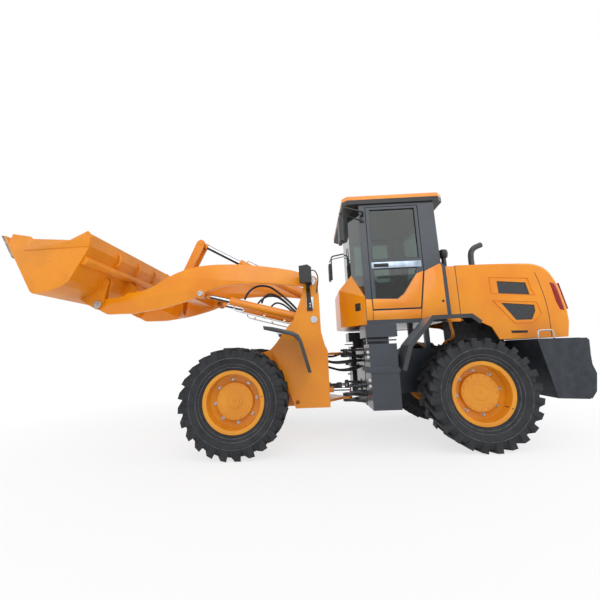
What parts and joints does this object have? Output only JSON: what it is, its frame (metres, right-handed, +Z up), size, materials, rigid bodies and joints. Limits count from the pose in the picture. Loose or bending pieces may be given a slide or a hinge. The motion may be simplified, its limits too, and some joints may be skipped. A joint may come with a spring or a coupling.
{
  "type": "articulated wheel loader",
  "caption": "Compact centre-steered wheel loader with a Z-bar boom, wide toothless bucket, glazed cab and rear engine under a one-piece hood, standing on four lugged tyres.",
  "frame": {"origin": "on the ground, in the middle of the machine's overall length and width", "axes": "+X forwards to the bucket, +Y to the driver's left, +Z up"},
  "size_m": [6.73, 2.09, 3.0248],
  "materials": {
    "body_paint": "orange-yellow gloss enamel",
    "dark_paint": "dark slate-grey enamel",
    "cast_grey": "painted casting",
    "fender_black": "black moulded or painted guard",
    "tyre_rubber": "matt black rubber",
    "rim_paint": "orange-yellow enamel",
    "chrome": "hard chrome rod",
    "steel_edge": "worn steel",
    "glass": "green tinted glass",
    "black_plastic": "black plastic",
    "seat_vinyl": "black vinyl",
    "red_lens": "red lens",
    "engine_metal": "grey casting"
  },
  "bodies": {
    "rear_frame": {"rear_frame": "dark_paint", "rear_axle": "engine_metal", "rear_drive_shaft": "engine_metal", "transmission": "engine_metal", "engine_block": "engine_metal", "radiator": "engine_metal", "counterweight": "cast_grey", "step_tank_left": "dark_paint", "fuel_tank_right": "dark_paint", "mudguards_rear": "fender_black", "cab_floor": "dark_paint", "cab_nose": "body_paint", "windscreen": "glass", "cab_side_left": "dark_paint", "cab_side_right": "dark_paint", "cab_rear": "dark_paint", "cab_glass": "glass", "cab_roof": "body_paint", "mirrors": "black_plastic", "seat_pedestal": "black_plastic", "seat_cushion": "seat_vinyl", "seat_backrest": "seat_vinyl", "steering_console": "black_plastic", "bonnet_cowl": "body_paint", "precleaner": "black_plastic"},
    "door": {"door_frame": "dark_paint", "door_glass": "glass"},
    "hood": {"hood_shell": "body_paint", "hood_grilles": "black_plastic", "tail_lamps": "red_lens", "exhaust_stack": "engine_metal"},
    "front_frame": {"front_frame": "body_paint", "front_axle": "engine_metal", "front_drive_shaft": "engine_metal", "mudguards_front": "fender_black", "work_lamps": "black_plastic"},
    "boom": {"boom_arms": "body_paint", "boom_cross_beam": "body_paint"},
    "bell_crank": {"bell_crank": "body_paint"},
    "bucket": {"bucket_shell": "body_paint", "bucket_cutting_edge": "steel_edge", "bucket_brackets": "body_paint"},
    "bucket_link": {"bucket_link": "body_paint"},
    "lift_barrels": {"lift_barrels": "body_paint"},
    "lift_rods": {"lift_rods": "chrome"},
    "tilt_barrel": {"tilt_barrel": "body_paint"},
    "tilt_rod": {"tilt_rod": "chrome"},
    "steering_barrel_left": {"steering_barrel_left": "body_paint"},
    "steering_rod_left": {"steering_rod_left": "chrome"},
    "steering_barrel_right": {"steering_barrel_right": "body_paint"},
    "steering_rod_right": {"steering_rod_right": "chrome"},
    "wheel_front_left": {"tyre_front_left": "tyre_rubber", "rim_front_left": "rim_paint"},
    "wheel_front_right": {"tyre_front_right": "tyre_rubber", "rim_front_right": "rim_paint"},
    "wheel_rear_left": {"tyre_rear_left": "tyre_rubber", "rim_rear_left": "rim_paint"},
    "wheel_rear_right": {"tyre_rear_right": "tyre_rubber", "rim_rear_right": "rim_paint"}
  },
  "joints": [
    {"name": "articulation", "type": "hinge", "parent": "rear_frame", "child": "front_frame", "pos_m": [-0.71, 0, 0.761], "axis": [0, 0, 1], "range_deg": [-35, 35]},
    {"name": "boom_lift", "type": "hinge", "parent": "front_frame", "child": "boom", "pos_m": [-0.275, 0, 1.985], "axis": [0, -1, 0], "range_deg": [-32, 40]},
    {"name": "bucket_tilt", "type": "hinge", "parent": "boom", "child": "bucket", "pos_m": [2.491, 0, 1.799], "axis": [0, 1, 0], "range_deg": [0, 100]},
    {"name": "crank_swing", "type": "hinge", "parent": "boom", "child": "bell_crank", "pos_m": [1.572, 0, 2.146], "axis": [0, 1, 0], "range_deg": [-52, 0]},
    {"name": "link_swing", "type": "hinge", "parent": "bucket", "child": "bucket_link", "pos_m": [2.319, 0, 2.045], "axis": [0, 1, 0], "range_deg": [-82, 0]},
    {"name": "lift_barrel_swing", "type": "hinge", "parent": "front_frame", "child": "lift_barrels", "pos_m": [-0.29, 0, 1.49], "axis": [0, -1, 0], "range_deg": [-29, 36]},
    {"name": "lift_rod_slide", "type": "slide", "parent": "lift_barrels", "child": "lift_rods", "axis": [0.9638, 0, 0.2665], "range_m": [-0.255, 0.318]},
    {"name": "tilt_barrel_swing", "type": "hinge", "parent": "front_frame", "child": "tilt_barrel", "pos_m": [-0.29, 0, 1.825], "axis": [0, -1, 0], "range_deg": [-30, 37.5]},
    {"name": "tilt_rod_slide", "type": "slide", "parent": "tilt_barrel", "child": "tilt_rod", "axis": [0.8688, 0, 0.4952], "range_m": [-0.546, 0]},
    {"name": "steering_barrel_swing_left", "type": "hinge", "parent": "front_frame", "child": "steering_barrel_left", "pos_m": [0.05, 0.25, 0.605], "axis": [0, 0, 1], "range_deg": [-2, 2]},
    {"name": "steering_rod_slide_left", "type": "slide", "parent": "steering_barrel_left", "child": "steering_rod_left", "axis": [-0.9993, 0.0379, 0], "range_m": [-0.166, 0.166]},
    {"name": "steering_barrel_swing_right", "type": "hinge", "parent": "front_frame", "child": "steering_barrel_right", "pos_m": [0.05, -0.25, 0.605], "axis": [0, 0, 1], "range_deg": [-2, 2]},
    {"name": "steering_rod_slide_right", "type": "slide", "parent": "steering_barrel_right", "child": "steering_rod_right", "axis": [-0.9993, -0.0379, 0], "range_m": [-0.166, 0.166]},
    {"name": "door_hinge", "type": "hinge", "parent": "rear_frame", "child": "door", "pos_m": [-1.655, 0.715, 2.2], "axis": [0, 0, 1], "range_deg": [0, 100]},
    {"name": "hood_hinge", "type": "hinge", "parent": "rear_frame", "child": "hood", "pos_m": [-3.31, 0, 1.145], "axis": [0, -1, 0], "range_deg": [0, 50]},
    {"name": "wheel_spin_front_left", "type": "hinge", "parent": "front_frame", "child": "wheel_front_left", "pos_m": [0.627, 0.8, 0.588], "axis": [0, 1, 0], "continuous": true},
    {"name": "wheel_spin_front_right", "type": "hinge", "parent": "front_frame", "child": "wheel_front_right", "pos_m": [0.627, -0.8, 0.588], "axis": [0, 1, 0], "continuous": true},
    {"name": "wheel_spin_rear_left", "type": "hinge", "parent": "rear_frame", "child": "wheel_rear_left", "pos_m": [-2.041, 0.8, 0.588], "axis": [0, 1, 0], "continuous": true},
    {"name": "wheel_spin_rear_right", "type": "hinge", "parent": "rear_frame", "child": "wheel_rear_right", "pos_m": [-2.041, -0.8, 0.588], "axis": [0, 1, 0], "continuous": true}
  ],
  "couplings": [
    {"joint": "lift_barrel_swing", "follows": "boom_lift", "ratio": 0.8893},
    {"joint": "lift_rod_slide", "follows": "boom_lift", "m_per_rad": 0.4491},
    {"joint": "tilt_barrel_swing", "follows": "boom_lift", "ratio": 0.9246},
    {"joint": "tilt_rod_slide", "follows": "bucket_tilt", "m_per_rad": -0.3111},
    {"joint": "crank_swing", "follows": "bucket_tilt", "ratio": -0.5094},
    {"joint": "link_swing", "follows": "bucket_tilt", "ratio": -0.8078},
    {"joint": "steering_barrel_swing_left", "follows": "articulation", "ratio": -0.0491},
    {"joint": "steering_rod_slide_left", "follows": "articulation", "m_per_rad": -0.2663},
    {"joint": "steering_barrel_swing_right", "follows": "articulation", "ratio": -0.0491},
    {"joint": "steering_rod_slide_right", "follows": "articulation", "m_per_rad": 0.2663}
  ]
}
